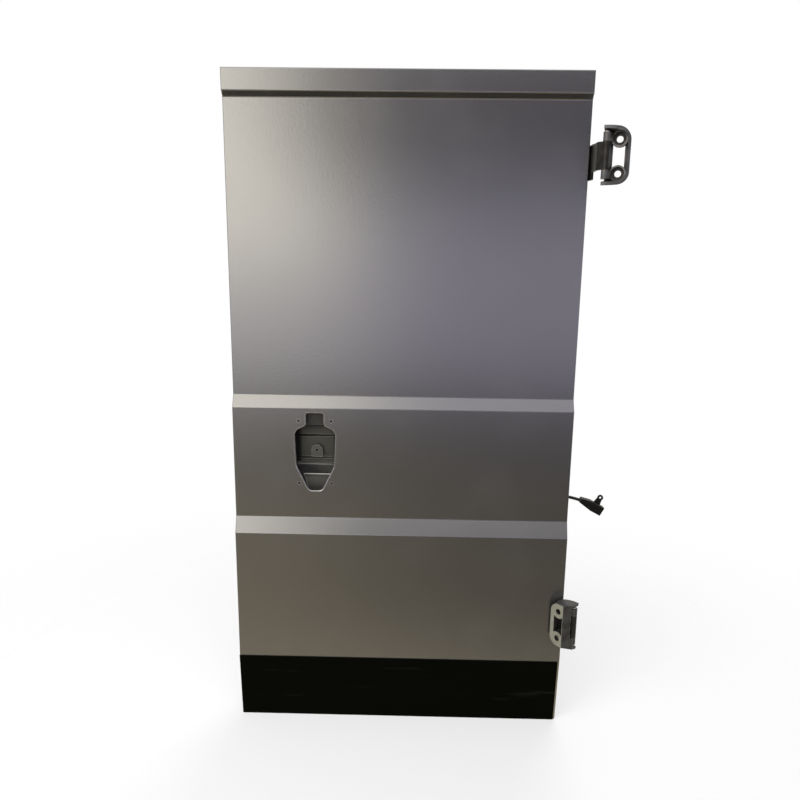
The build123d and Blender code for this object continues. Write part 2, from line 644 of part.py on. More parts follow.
def arm_solid():
    """Gooseneck arm with its knuckle on Z at the origin and its bolted plate on the door's wall."""
    plate_x = WALL_X - PIN_X
    plate_end = INNER_Y - PANEL_EDGE_RADIUS - PIN_Y
    turn_y = PIN_OUT + UPPER_SETBACK + SKIN_RETURN + HEM_CLEAR + ARM_SHEET / 2
    neck_x = -ARM_CLEAR - ARM_SHEET / 2
    with BuildPart() as arm:
        with BuildSketch(Plane.XY.offset(ARM_BOTTOM)):
            with BuildLine() as middle:
                FilletPolyline(
                    (plate_x + ARM_SHEET / 2, plate_end),
                    (plate_x + ARM_SHEET / 2, turn_y),
                    (neck_x, turn_y),
                    (neck_x, ARM_CLEAR),
                    (-KNUCKLE_RADIUS / 2, 0),
                    radius=ARM_BEND,
                )
            trace(line_width=ARM_SHEET)
        extrude(amount=ARM_TOP - ARM_BOTTOM)
        with BuildSketch(Plane.XZ.offset(-ARM_SHEET)):
            with Locations((-ARM_CLEAR, ARM_BOTTOM)):
                Rectangle(4 * ARM_CLEAR, 2 * (-ARM_KNUCKLE_HALF - ARM_BOTTOM))
            with Locations((-ARM_CLEAR, ARM_TOP)):
                Rectangle(4 * ARM_CLEAR, 2 * (ARM_TOP - ARM_KNUCKLE_HALF))
        extrude(amount=4 * ARM_CLEAR, both=True, mode=Mode.SUBTRACT)
        Cylinder(KNUCKLE_RADIUS, 2 * ARM_KNUCKLE_HALF)
        Cylinder(PIN_RADIUS + BUSH_WALL, 2 * ARM_KNUCKLE_HALF, mode=Mode.SUBTRACT)
    return arm.part


def bush_solids():
    """Pair of flanged bushes pressed into the arm's knuckle from both ends."""
    with BuildPart() as pair:
        for side in (1, -1):
            with BuildSketch(Plane.XY.offset(side * ARM_KNUCKLE_HALF)):
                Circle(KNUCKLE_RADIUS)
                Circle(PIN_RADIUS + PIN_RUNNING, mode=Mode.SUBTRACT)
            extrude(amount=side * BUSH_FLANGE)
            with BuildSketch(Plane.XY.offset(side * ARM_KNUCKLE_HALF)):
                Circle(PIN_RADIUS + BUSH_WALL)
                Circle(PIN_RADIUS + PIN_RUNNING, mode=Mode.SUBTRACT)
            extrude(amount=-side * BUSH_LENGTH)
    return pair.part


def pin_solid():
    """Hinge pin with a low head that rests on the upper knuckle."""
    with BuildPart() as pin:
        Cylinder(PIN_RADIUS, 2 * KNUCKLE_END)
        with Locations((0, 0, KNUCKLE_END)):
            Cylinder(PIN_RADIUS + PIN_HEAD_LIP, PIN_HEAD, align=(Align.CENTER, Align.CENTER, Align.MIN))
        fillet(pin.edges().sort_by(Axis.Z)[-1], PIN_HEAD / 2)
    return pin.part


def stiffener_plate(hinge_z):
    """Tapped plate on the inside of the wall that takes the two arm bolts."""
    plate_y = INNER_Y - PANEL_EDGE_RADIUS - ARM_PLATE_LENGTH / 2
    with BuildPart() as plate:
        with BuildSketch(Plane.YZ.offset(WALL_X - SHEET)):
            with Locations((plate_y, FOOT_Z + hinge_z + (ARM_TOP + ARM_BOTTOM) / 2)):
                RectangleRounded(
                    ARM_PLATE_LENGTH - 2 * STIFFENER_PLATE,
                    ARM_TOP - ARM_BOTTOM + 2 * STIFFENER_BORDER,
                    STIFFENER_PLATE,
                )
        extrude(amount=-STIFFENER_PLATE)
        add(wall_holes(hinge_z), mode=Mode.SUBTRACT)
    return plate.part


# Harness: grommet in the wall, a short corrugated lead, and its loose connector
lead_z = FOOT_Z + HARNESS_Z
lead_points = [
    (WALL_X + GROMMET_FLANGE, harness_y, lead_z),
    (WALL_X + 18, harness_y - 3, lead_z + 1.5),
    (WALL_X + 36, harness_y - 9, lead_z - 0.5),
    (WALL_X + 54, harness_y - 13, lead_z - 5),
]
with BuildPart() as harness_grommet:
    with BuildSketch(Plane.YZ.offset(WALL_X)):
        with Locations((harness_y, lead_z)):
            Circle(GROMMET_RADIUS)
    extrude(amount=GROMMET_FLANGE)
    fillet(harness_grommet.edges().sort_by(Axis.X)[-1], GROMMET_FLANGE / 2)
    with BuildSketch(Plane.YZ.offset(WALL_X)):
        with Locations((harness_y, lead_z)):
            Circle(GROMMET_RADIUS - GROMMET_FLANGE)
    extrude(amount=-2 * GROMMET_FLANGE)
lead_radii = []
for before, corner, after in zip(lead_points, lead_points[1:], lead_points[2:]):
    run_in = Vector(*corner) - Vector(*before)
    run_out = Vector(*after) - Vector(*corner)
    half_turn = radians(run_in.get_angle(run_out)) / 2
    lead_radii.append(0.45 * min(run_in.length, run_out.length) / tan(half_turn))
print("lead radii", [round(radius) for radius in lead_radii])
with BuildPart() as harness_lead:
    with BuildLine() as lead_path:
        FilletPolyline(*lead_points, radius=lead_radii)
    with BuildSketch(Plane(lead_path.line @ 0, z_dir=lead_path.line % 0)):
        Circle(HARNESS_DIAMETER / 2)
    sweep()
lead_wire = lead_path.wires()[0]
lead_end = lead_wire @ 1
mean_section = harness_lead.part.volume / lead_wire.length
print("lead length", round(lead_wire.length, 1), "mean section", round(mean_section, 2))

# Connector: a boot that swells to a square nose, drooping from the end of the lead
droop = radians(CONNECTOR_DROP)
nose_way = Vector(cos(droop), 0, -sin(droop))
connector_plane = Plane(origin=lead_end, x_dir=nose_way, z_dir=(0, -1, 0))
with BuildPart() as connector_body:
    with BuildSketch(connector_plane):
        with BuildLine():
            Polyline(
                (CONNECTOR_BACK, CONNECTOR_TAIL / 2),
                (CONNECTOR_LENGTH / 3, CONNECTOR_NOSE / 2),
                (CONNECTOR_LENGTH, CONNECTOR_NOSE / 2),
                (CONNECTOR_LENGTH, -CONNECTOR_NOSE / 2),
                (CONNECTOR_LENGTH / 2, -CONNECTOR_NOSE / 2),
                (CONNECTOR_BACK, -CONNECTOR_TAIL / 2),
                close=True,
            )
        make_face()
    extrude(amount=CONNECTOR_WIDTH / 2, both=True)
    long_edges = connector_body.edges().filter_by(lambda edge: abs(edge.tangent_at(0.5).Y) < 0.01)
    fillet(long_edges.sort_by(SortBy.LENGTH)[-6:], SOCKET_WALL / 2)
    nose_face = connector_body.faces().sort_by(Axis((0, 0, 0), tuple(nose_way)))[-1]
    with BuildSketch(Plane(nose_face)):
        Rectangle(CONNECTOR_WIDTH - 2 * SOCKET_WALL, CONNECTOR_NOSE - 2 * SOCKET_WALL)
    extrude(amount=-SOCKET_DEPTH, mode=Mode.SUBTRACT)
    add(harness_lead.part, mode=Mode.SUBTRACT)

# Connector lug: a flat ear with an eyelet on the connector's upper face
with BuildPart() as connector_lug:
    with BuildSketch(connector_plane) as ear:
        with Locations((LUG_PLACE, CONNECTOR_NOSE / 2 + LUG_STAND)):
            Circle(LUG_RADIUS)
        with Locations((LUG_PLACE, CONNECTOR_NOSE / 2 + LUG_STAND / 2)):
            Trapezoid(2 * LUG_RADIUS + LUG_THICKNESS, LUG_STAND, LUG_FLARE)
        with Locations((LUG_PLACE, CONNECTOR_NOSE / 2 + LUG_STAND)):
            Circle(LUG_HOLE_RADIUS, mode=Mode.SUBTRACT)
    extrude(amount=LUG_THICKNESS / 2, both=True)

pieces = {
    "outer_skin": outer_skin.part,
    "upper_inner_panel": upper_panel,
    "lower_inner_panel": lower_panel,
    "upper_stiffener": upper_rail,
    "waist_stiffener": waist_rail,
    "lower_stiffener": lower_rail,
    "lower_moulding": lower_moulding.part,
    "handle_carrier": handle_carrier.part,
    "lock_bracket": lock_bracket.part,
    "lock_tab": lock_tab.part,
    "harness_grommet": harness_grommet.part - harness_lead.part,
    "harness_lead": harness_lead.part,
    "connector_body": connector_body.part,
    "connector_lug": connector_lug.part,
}
for name, height, leaf_turn in (
    ("upper", UPPER_HINGE_Z, UPPER_LEAF_TURN),
    ("lower", LOWER_HINGE_Z, LOWER_LEAF_TURN),
):
    at_pin = Location((PIN_X, PIN_Y, FOOT_Z + height))
    turned = at_pin * Rotation(0, 0, -leaf_turn) * Rotation(180, 0, 0)
    pieces[name + "_hinge_leaf"] = turned * leaf_solid()
    pieces[name + "_hinge_pin"] = at_pin * pin_solid()
    pieces[name + "_hinge_arm"] = (at_pin * arm_solid()) - wall_holes(height)
    pieces[name + "_hinge_bushes"] = at_pin * bush_solids()
    pieces[name + "_hinge_plate"] = stiffener_plate(height)

for name, piece in pieces.items():
    piece.label = name
    export_step(piece, "parts/" + name + ".step")
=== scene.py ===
# %% [markdown]
# # A campervan's rear barn door
# The door is a pressed steel skin, hemmed round an inner panel. Two cast hinge leaves swing on its right
# edge, and a short wiring lead hangs out beside them. The solids already have the true shapes and places,
# so this lesson is mostly about finishes, with a few small pieces that only matter to the eye.

import json
import math

import bmesh
import bpy
from mathutils import Matrix, Vector


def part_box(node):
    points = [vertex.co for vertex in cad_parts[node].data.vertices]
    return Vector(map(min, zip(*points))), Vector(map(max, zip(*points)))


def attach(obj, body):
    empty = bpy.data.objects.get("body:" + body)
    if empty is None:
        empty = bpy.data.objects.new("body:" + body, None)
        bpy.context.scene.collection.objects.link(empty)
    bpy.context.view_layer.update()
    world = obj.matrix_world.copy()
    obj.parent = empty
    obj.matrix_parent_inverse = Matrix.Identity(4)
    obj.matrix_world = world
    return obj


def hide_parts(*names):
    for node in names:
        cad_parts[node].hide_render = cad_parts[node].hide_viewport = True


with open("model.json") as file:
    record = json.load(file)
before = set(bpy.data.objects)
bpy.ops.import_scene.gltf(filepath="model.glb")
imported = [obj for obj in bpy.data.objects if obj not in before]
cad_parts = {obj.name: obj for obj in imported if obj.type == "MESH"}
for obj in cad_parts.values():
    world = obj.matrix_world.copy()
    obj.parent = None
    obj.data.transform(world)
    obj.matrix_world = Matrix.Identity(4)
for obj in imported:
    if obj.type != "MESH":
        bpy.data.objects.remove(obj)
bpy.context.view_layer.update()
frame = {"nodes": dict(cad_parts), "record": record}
nodes = frame["nodes"]

# %% [markdown]
# ## Measures
# Everything below is placed from the loaded pieces, never by eye. The outer skin's box gives the door's
# outline, and the two arms give the places of the hinges. Blender works in metres here.

# %% Read the door's main places
skin_low, skin_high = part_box("outer_skin")
panel_back_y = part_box("lower_inner_panel")[1].y
door_middle_x = (skin_low.x + skin_high.x) / 2
door_width = skin_high.x - skin_low.x
door_height = skin_high.z - skin_low.z
print("door", round(door_width, 3), "wide and", round(door_height, 3), "high")

# %% [markdown]
# ## Node trees as arithmetic
# A finish is a network of nodes, and its masks are mostly sums and products. Wiring each Math node by
# hand hides the idea, so a small class wraps one socket and lets Python's operators add the Math nodes.
# Every other node comes from one method, which sets the node's options first and then its sockets.


# %% Wrap a socket so that sums add nodes
class Wire:
    """One value in a node tree. Arithmetic on it adds Math nodes."""

    def __init__(self, tree, socket):
        self.tree = tree
        self.socket = socket

    def math(self, operation, first, second):
        return self.tree.node("ShaderNodeMath", {"operation": operation}, {0: first, 1: second})

    def __add__(self, other):
        return self.math("ADD", self, other)

    def __radd__(self, other):
        return self.math("ADD", other, self)

    def __sub__(self, other):
        return self.math("SUBTRACT", self, other)

    def __rsub__(self, other):
        return self.math("SUBTRACT", other, self)

    def __mul__(self, other):
        return self.math("MULTIPLY", self, other)

    def __rmul__(self, other):
        return self.math("MULTIPLY", other, self)


class NodeTree:
    """A node tree under construction."""

    def __init__(self, tree):
        self.tree = tree

    def plug(self, value, socket):
        if isinstance(value, Wire):
            self.tree.links.new(value.socket, socket)
        else:
            socket.default_value = value

    def node(self, kind, settings=None, links=None, output=0):
        made = self.tree.nodes.new(kind)
        for name, value in (settings or {}).items():
            setattr(made, name, value)
        for name, value in (links or {}).items():
            self.plug(value, made.inputs[name])
        return Wire(self, made.outputs[output])


print("node helpers ready")

# %% [markdown]
# ## A finish
# Each material starts as one Principled shader. Numbers that hold all over the surface go straight on its
# sockets. What varies is built from a few words that a painter would use: noise for mottling, rise for a
# soft threshold, facing for a side of the piece, sharp_edges for its sharp edges, and dirt_and_shade for
# its corners, which it darkens as dirt and as painted shade.


# %% Build a finish from plain words
class Finish(NodeTree):
    """A material: one Principled shader and what feeds it, in the piece's own coordinates."""

    def __init__(self, name, constants=None):
        self.material = bpy.data.materials.new(name)
        self.material.use_nodes = True
        super().__init__(self.material.node_tree)
        self.shader = self.tree.nodes["Principled BSDF"]
        for socket, value in (constants or {}).items():
            self.shader.inputs[socket].default_value = value
        self.place = self.node("ShaderNodeTexCoord", output="Object")

    def feed(self, socket, value):
        self.plug(value, self.shader.inputs[socket])

    def noise(self, scale, detail=2.0, stretch=None):
        where = self.place
        if stretch:
            where = self.node("ShaderNodeMapping", None, {"Vector": self.place, "Scale": stretch})
        return self.node("ShaderNodeTexNoise", None, {"Vector": where, "Scale": scale, "Detail": detail})

    def cells(self, scale):
        return self.node("ShaderNodeTexVoronoi", None, {"Vector": self.place, "Scale": scale})

    def rise(self, value, low, high):
        sockets = {"Value": value, "From Min": low, "From Max": high}
        return self.node("ShaderNodeMapRange", {"interpolation_type": "SMOOTHSTEP"}, sockets)

    def axis(self, vector, letter):
        return self.node("ShaderNodeSeparateXYZ", None, {0: vector}, output=letter)

    def dot(self, first, second):
        sockets = {0: first, 1: second}
        return self.node("ShaderNodeVectorMath", {"operation": "DOT_PRODUCT"}, sockets, "Value")

    def distance_to(self, point):
        sockets = {0: self.place, 1: point}
        return self.node("ShaderNodeVectorMath", {"operation": "DISTANCE"}, sockets, "Value")

    def facing(self, way):
        return self.dot(self.node("ShaderNodeTexCoord", output="Normal"), way)

    def sharp_edges(self, radius):
        rounded = self.node("ShaderNodeBevel", {"samples": 4}, {"Radius": radius})
        flat = self.node("ShaderNodeNewGeometry", output="Normal")
        return self.rise(1 - self.dot(rounded, flat), 0.02, 0.25)

    # Ambient occlusion: darkens corners and hollows, as dirt and as painted shade.
    def dirt_and_shade(self, reach):
        settings = {"samples": 8, "only_local": True}
        return 1 - self.node("ShaderNodeAmbientOcclusion", settings, {"Distance": reach}, "AO")

    def blend(self, mask, first, second):
        colours = {0: mask, 6: first, 7: second}
        return self.node("ShaderNodeMix", {"data_type": "RGBA"}, colours, output=2)

    def bump(self, height, distance, strength=1.0, below=None):
        sockets = {"Height": height, "Distance": distance, "Strength": strength}
        if below is not None:
            sockets["Normal"] = below
        return self.node("ShaderNodeBump", None, sockets)


def rgb(red, green, blue):
    return (red, green, blue, 1.0)


print("finish helpers ready")

# %% [markdown]
# ## Silver paint on the skin
# Metallic paint is tiny aluminium flakes in a tinted binder, under a clear coat. The flakes make it
# behave like rough metal, so Metallic is high. Three scales of noise do the rest: flakes of a third of a
# millimetre, the slow orange peel of a sprayed coat, and the dull film of dust that settles on an old
# door. The back of the same sheet only got a thin, matt overspray, so a mask on the surface's direction
# splits the two. The rounded rim of the handle's opening gets a painted highlight: a thin, almost white
# line. The faces of the low ledge that look up are made a little greyer and less metallic than the ledge
# at the waist.

# %% Mix the silver paint
SILVER = rgb(0.235, 0.230, 0.222)
SILVER_LIGHT = rgb(0.268, 0.263, 0.254)
PAINT_DUST = rgb(0.300, 0.280, 0.245)
OVERSPRAY = rgb(0.150, 0.147, 0.142)
FLAKES = 2600.0
ORANGE_PEEL = 170.0
WIPE_MARKS = 90.0
DUST_TOP = skin_low.z + 0.40
DUST_FULL = skin_low.z + 0.10
RIM_HIGHLIGHT = rgb(0.950, 0.940, 0.900)
RIM_ROUND = 0.005
RIM_WITHIN = 0.115
RIM_FADED = 1.1 * RIM_WITHIN
LOW_LEDGE_GREY = rgb(0.240, 0.234, 0.228)
LOW_LEDGE_SHARE = 0.345
LOW_LEDGE_TOP = skin_low.z + 0.62
LOW_LEDGE_FULL = skin_low.z + 0.56
carrier_low, carrier_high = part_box("handle_carrier")
handle_x = (carrier_low.x + carrier_high.x) / 2
handle_heart = (handle_x, skin_low.y, (carrier_low.z + carrier_high.z) / 2)


def silver_paint():
    paint = Finish("silver_paint", {"Coat Roughness": 0.12})
    flake = paint.cells(FLAKES)
    cloud = paint.noise(2.2, 3.0)
    colour = paint.blend(paint.rise(flake, 0.1, 0.75), SILVER, SILVER_LIGHT)
    film = paint.rise(paint.noise(7.0, 5.0), 0.48, 0.75) * 0.05
    film = film + paint.rise(paint.noise(46.0, 4.0), 0.58, 0.8) * 0.03
    low_dust = paint.rise(paint.axis(paint.place, "Z"), DUST_TOP, DUST_FULL) * 0.20
    dust = film + low_dust * paint.noise(18.0, 4.0)
    colour = paint.blend(dust, colour, PAINT_DUST)
    # The up-facing faces of the low ledge are made a little greyer and less metallic.
    low_down = paint.rise(paint.axis(paint.place, "Z"), LOW_LEDGE_TOP, LOW_LEDGE_FULL)
    greyed = LOW_LEDGE_SHARE * low_down * paint.rise(paint.facing((0, 0, 1)), 0.20, 0.35)
    colour = paint.blend(greyed, colour, LOW_LEDGE_GREY)
    # Painted highlight: a thin, almost white line round the rim of the handle's opening.
    by_handle = paint.rise(paint.distance_to(handle_heart), RIM_FADED, RIM_WITHIN)
    rim_highlight = paint.sharp_edges(RIM_ROUND) * by_handle
    colour = paint.blend(0.8 * rim_highlight, colour, RIM_HIGHLIGHT)
    inside = paint.rise(paint.facing((0, 1, 0)), 0.4, 0.6)
    paint.feed("Base Color", paint.blend(inside, colour, OVERSPRAY))
    paint.feed("Metallic", (0.92 - 0.5 * dust) * (1 - 0.6 * inside) * (1 - greyed))
    paint.feed("Roughness", 0.19 + 0.05 * cloud + 0.25 * dust + 0.28 * inside)
    paint.feed("Coat Weight", 0.45 * (1 - inside) - 0.6 * dust)
    peel = paint.noise(ORANGE_PEEL, 2.0)
    wipe = paint.noise(WIPE_MARKS, 3.0, stretch=(0.25, 1.0, 6.0))
    skin_bump = paint.bump(peel + 0.25 * wipe, 0.00012, 0.6)
    paint.feed("Normal", paint.bump(flake, 0.00003, 0.35, skin_bump))
    return paint.material


skin_paint = silver_paint()
print("mixed", skin_paint.name)

# %% [markdown]
# ## Inner paint
# Sheets inside the door get the body colour in one thin pass, without clear coat. It dries with a pebbled
# surface and stays darker where the gun couldn't reach. Its corners darken to brown, partly dirt and
# partly painted shade, and its bent edges get a pale painted highlight. The pieces inside the handle
# opening get darker copies of this paint as painted shade, and on the bracket what lies to the sides and
# up behind the neck is painted almost black, a painted shadow.

# %% Mix the thin inner paint
INNER = rgb(0.170, 0.166, 0.158)
INNER_PALE = rgb(0.225, 0.219, 0.207)
LOCK_SHADED = rgb(0.024, 0.023, 0.017)
LOCK_SHADED_PALE = rgb(0.040, 0.039, 0.030)
BRACKET_SHADED = rgb(0.062, 0.060, 0.048)
BRACKET_SHADED_PALE = rgb(0.100, 0.097, 0.080)
TAB_SHADED = rgb(0.090, 0.088, 0.076)
TAB_SHADED_PALE = rgb(0.120, 0.117, 0.102)
BROWN_DIRT_AND_SHADE = rgb(0.040, 0.034, 0.025)
EDGE_HIGHLIGHT = rgb(0.560, 0.550, 0.515)
SIDE_SHADOW = rgb(0.004, 0.004, 0.003)
LIT_WITHIN = 0.036
SHADOWED_FROM = 0.043
NECK_FOOT_DROP = 0.062
NECK_DARK_DROP = 0.050
neck_foot_z = carrier_high.z - NECK_FOOT_DROP
neck_dark_z = carrier_high.z - NECK_DARK_DROP


def inner_paint(name, dark, pale, corner_reach, shadowed_sides=False):
    paint = Finish(name)
    cover = paint.noise(5.0, 4.0)
    colour = paint.blend(paint.rise(cover, 0.35, 0.7), dark, pale)
    # Corners darken to brown: partly dirt, partly painted shade.
    corner = paint.dirt_and_shade(corner_reach)
    grime_and_shade = paint.rise(corner + 0.35 * paint.noise(30.0, 4.0), 0.45, 1.0)
    colour = paint.blend(0.75 * grime_and_shade, colour, BROWN_DIRT_AND_SHADE)
    # Painted highlight: bent edges are painted pale.
    pale_edges = paint.sharp_edges(0.0022) * paint.rise(paint.noise(25.0, 3.0), 0.18, 0.42)
    colour = paint.blend(0.85 * pale_edges, colour, EDGE_HIGHLIGHT)
    metal = 0.55 - 0.45 * grime_and_shade
    if shadowed_sides:
        # Painted shadow: beside the opening and up behind the neck the piece is painted almost black.
        aside = paint.axis(paint.place, "X") - handle_x
        aside = paint.node("ShaderNodeMath", {"operation": "ABSOLUTE"}, {0: aside})
        beside = paint.rise(aside, LIT_WITHIN, SHADOWED_FROM)
        behind_neck = 0.75 * paint.rise(paint.axis(paint.place, "Z"), neck_foot_z, neck_dark_z)
        painted_shadow = beside + behind_neck * (1 - beside)
        colour = paint.blend(painted_shadow, colour, SIDE_SHADOW)
        metal = metal * (1 - painted_shadow)
    paint.feed("Base Color", colour)
    paint.feed("Metallic", metal)
    paint.feed("Roughness", 0.42 + 0.1 * cover + 0.3 * grime_and_shade)
    paint.feed("Coat Weight", 0.15 * (1 - grime_and_shade))
    pebble = paint.noise(420.0, 3.0)
    paint.feed("Normal", paint.bump(pebble + 0.6 * paint.noise(60.0, 2.0), 0.00018, 0.6))
    return paint.material


thin_paint = inner_paint("inner_paint", INNER, INNER_PALE, 0.03)
# The pieces inside the handle opening get darker copies of the inner paint: painted shade.
lock_paint = inner_paint("lock_paint", LOCK_SHADED, LOCK_SHADED_PALE, 0.02)
bracket_paint = inner_paint("bracket_paint", BRACKET_SHADED, BRACKET_SHADED_PALE, 0.02, shadowed_sides=True)
tab_paint = inner_paint("tab_paint", TAB_SHADED, TAB_SHADED_PALE, 0.01)
print("mixed", thin_paint.name, lock_paint.name, bracket_paint.name, tab_paint.name)

# %% [markdown]
# ## Black strip
# The strip along the door's foot is moulded in grained black plastic. The grain is a field of small pits,
# which Voronoi cells give, and boots and road grit leave pale scuffs that run along the strip. Its sharp
# edges take the same pale colour, as scuffs and as a painted highlight along the lip.

# %% Mould the black plastic
STRIP_BLACK = rgb(0.0014, 0.0017, 0.0007)
STRIP_SCUFF_AND_HIGHLIGHT = rgb(0.060, 0.056, 0.048)
STRIP_GRAIN = 900.0


def strip_plastic():
    plastic = Finish("strip_plastic", {"Specular IOR Level": 0.03})
    grain = plastic.cells(STRIP_GRAIN)
    scuff = plastic.rise(plastic.noise(16.0, 6.0, stretch=(0.35, 1.0, 5.0)), 0.62, 0.82)
    fade = plastic.noise(3.0, 3.0)
    colour = plastic.blend(0.16 * scuff + 0.01 * fade, STRIP_BLACK, STRIP_SCUFF_AND_HIGHLIGHT)
    # The sharp edges take the pale scuff colour: scuffs and a painted highlight.
    colour = plastic.blend(0.5 * plastic.sharp_edges(0.0012), colour, STRIP_SCUFF_AND_HIGHLIGHT)
    plastic.feed("Base Color", colour)
    plastic.feed("Roughness", 0.52 + 0.12 * fade + 0.2 * scuff)
    plastic.feed("Normal", plastic.bump(grain + 0.5 * plastic.noise(240.0), 0.00014, 0.55))
    return plastic.material


moulding_black = strip_plastic()
print("moulded", moulding_black.name)

# %% [markdown]
# ## Hinge castings
# Leaves and arms are steel castings, painted with the body after assembly. A casting keeps a faint sandy
# texture, its edges lose paint to spanners, and grease blackens the cups and knuckles, deepened in the
# hollows by painted shade. The side that is bolted to the van never saw the top coat: it shows pale
# primer, whose stains also darken in tight hollows as painted shade. A leaf's own mounting direction picks
# that side out. The lower leaf gets darker and duller colours than the upper one. The arms get a nearly
# black copy of the paint, which is painted shade.

# %% Paint the castings
CAST_GREY = rgb(0.125, 0.121, 0.118)
CAST_DARK = rgb(0.070, 0.068, 0.065)
LOWER_LEAF_GREY = rgb(0.075, 0.072, 0.066)
LOWER_LEAF_DARK = rgb(0.038, 0.036, 0.032)
ARM_SHADED_GREY = rgb(0.034, 0.031, 0.027)
ARM_SHADED_DARK = rgb(0.014, 0.013, 0.011)
BARE_STEEL = rgb(0.420, 0.410, 0.390)
GREASE_AND_SHADE = rgb(0.016, 0.012, 0.008)
PRIMER = rgb(0.250, 0.243, 0.185)
PRIMER_STAIN_AND_SHADE = rgb(0.120, 0.108, 0.076)
CAST_SHEEN = 0.5
LOWER_LEAF_SHEEN = 0.3
ARM_SHEEN = 0.15


def cast_paint(name, dark, pale, sheen, mounting_way=None):
    paint = Finish(name, {"Coat Roughness": 0.25, "Specular IOR Level": sheen})
    mottle = paint.noise(38.0, 4.0)
    colour = paint.blend(paint.rise(mottle, 0.35, 0.7), dark, pale)
    pale_edges = paint.sharp_edges(0.0016) * paint.rise(paint.noise(70.0, 4.0), 0.40, 0.7)
    colour = paint.blend(0.7 * pale_edges, colour, BARE_STEEL)
    # Grease and painted shade: the hollows, cups and knuckles are blackened.
    grease_and_shade = paint.rise(paint.dirt_and_shade(0.028) + 0.25 * paint.noise(120.0, 3.0), 0.30, 0.58)
    colour = paint.blend(0.95 * grease_and_shade, colour, GREASE_AND_SHADE)
    metal = 0.40 - 0.38 * grease_and_shade
    shine = 0.40 + 0.12 * mottle + 0.15 * grease_and_shade
    if mounting_way:
        seat = paint.rise(paint.facing(mounting_way), 0.9, 0.97)
        # The primer's stains darken in tight hollows as well: painted shade.
        stain_and_shade = paint.rise(paint.noise(55.0, 5.0) + 0.5 * paint.dirt_and_shade(0.006), 0.5, 0.85)
        colour = paint.blend(seat, colour, paint.blend(0.8 * stain_and_shade, PRIMER, PRIMER_STAIN_AND_SHADE))
        metal = metal * (1 - seat)
        shine = shine + 0.2 * seat
    paint.feed("Base Color", colour)
    paint.feed("Metallic", metal)
    paint.feed("Roughness", shine)
    paint.feed("Coat Weight", 0.2 * (1 - grease_and_shade))
    sand = paint.noise(900.0, 3.0) + 0.7 * paint.noise(210.0, 2.0)
    paint.feed("Normal", paint.bump(sand, 0.00012, 0.5))
    return paint.material


mount_ways = {}
for mount in frame["record"]["mounts"]:
    mount_ways[mount["name"]] = tuple(mount["axis"])
upper_seat = mount_ways["upper_leaf_face"]
lower_seat = mount_ways["lower_leaf_face"]
upper_leaf_paint = cast_paint("upper_leaf_paint", CAST_DARK, CAST_GREY, CAST_SHEEN, upper_seat)
# The lower leaf gets darker and duller colours than the upper one.
lower_leaf_paint = cast_paint("lower_leaf_paint", LOWER_LEAF_DARK, LOWER_LEAF_GREY, LOWER_LEAF_SHEEN, lower_seat)
# The arms get a nearly black copy of the casting paint: painted shade.
arm_paint = cast_paint("arm_paint", ARM_SHADED_DARK, ARM_SHADED_GREY, ARM_SHEEN)
print("painted castings, mounting sides", upper_seat, lower_seat)

# %% [markdown]
# ## Pins and bushes
# The hinge pins are turned steel and the bushes are sintered bronze. Turning leaves fine rings round the
# axis, which is upright here, so the noise is stretched flat across Z. Bronze darkens with old oil. The
# dull stains also gather in tight hollows, which is painted shade.

# %% Turn the steel and the bronze
STEEL = rgb(0.520, 0.510, 0.495)
STEEL_DULL = rgb(0.330, 0.315, 0.295)
BRONZE = rgb(0.180, 0.135, 0.075)
BRONZE_OILED_AND_SHADED = rgb(0.050, 0.038, 0.024)
ZINC = rgb(0.50, 0.49, 0.45)
ZINC_DULL = rgb(0.25, 0.22, 0.16)


def turned_metal(name, bright, dull, roughness):
    metal = Finish(name, {"Metallic": 1.0})
    rings = metal.noise(40.0, 3.0, stretch=(0.4, 0.4, 60.0))
    # Dull stains gather in tight hollows too, which is painted shade.
    stain_and_shade = metal.rise(metal.noise(90.0, 4.0) + 0.5 * metal.dirt_and_shade(0.005), 0.4, 0.9)
    metal.feed("Base Color", metal.blend(stain_and_shade, bright, dull))
    metal.feed("Roughness", roughness + 0.15 * rings + 0.15 * stain_and_shade)
    metal.feed("Normal", metal.bump(rings, 0.00005, 0.5))
    return metal.material


pin_steel = turned_metal("pin_steel", STEEL, STEEL_DULL, 0.24)
bush_bronze = turned_metal("bush_bronze", BRONZE, BRONZE_OILED_AND_SHADED, 0.36)
bolt_zinc = turned_metal("bolt_zinc", ZINC, ZINC_DULL, 0.34)
print("turned", pin_steel.name, bush_bronze.name, bolt_zinc.name)

# %% [markdown]
# ## Rubber, conduit and connector
# The grommet is soft black rubber with a chalky bloom. The conduit and the connector are moulded plastics
# that have lain about in a workshop: dust gathers on what faces up, and handling polishes what stands
# proud.

# %% Make the dusty plastics
RUBBER = rgb(0.014, 0.014, 0.013)
BLOOM = rgb(0.075, 0.072, 0.066)
CONDUIT = rgb(0.012, 0.012, 0.011)
CONNECTOR = rgb(0.006, 0.006, 0.005)
SHOP_DUST = rgb(0.230, 0.205, 0.170)


def dusty_plastic(name, base, dust_colour, amount, roughness, grain):
    plastic = Finish(name, {"Specular IOR Level": 0.15})
    mottle = plastic.noise(160.0, 5.0)
    up = plastic.rise(plastic.facing((0, 0, 1)), 0.0, 0.8)
    greyed = plastic.rise(mottle * (0.6 + 0.4 * up), 0.28, 0.62)
    pale_edges = plastic.sharp_edges(0.0007)
    dust = amount * (greyed * (0.35 + 0.65 * up) + 0.6 * pale_edges)
    plastic.feed("Base Color", plastic.blend(dust, base, dust_colour))
    plastic.feed("Roughness", roughness + 0.25 * greyed - 0.15 * pale_edges)
    plastic.feed("Normal", plastic.bump(plastic.noise(grain, 3.0) + 0.4 * mottle, 0.0002, 0.5))
    return plastic.material


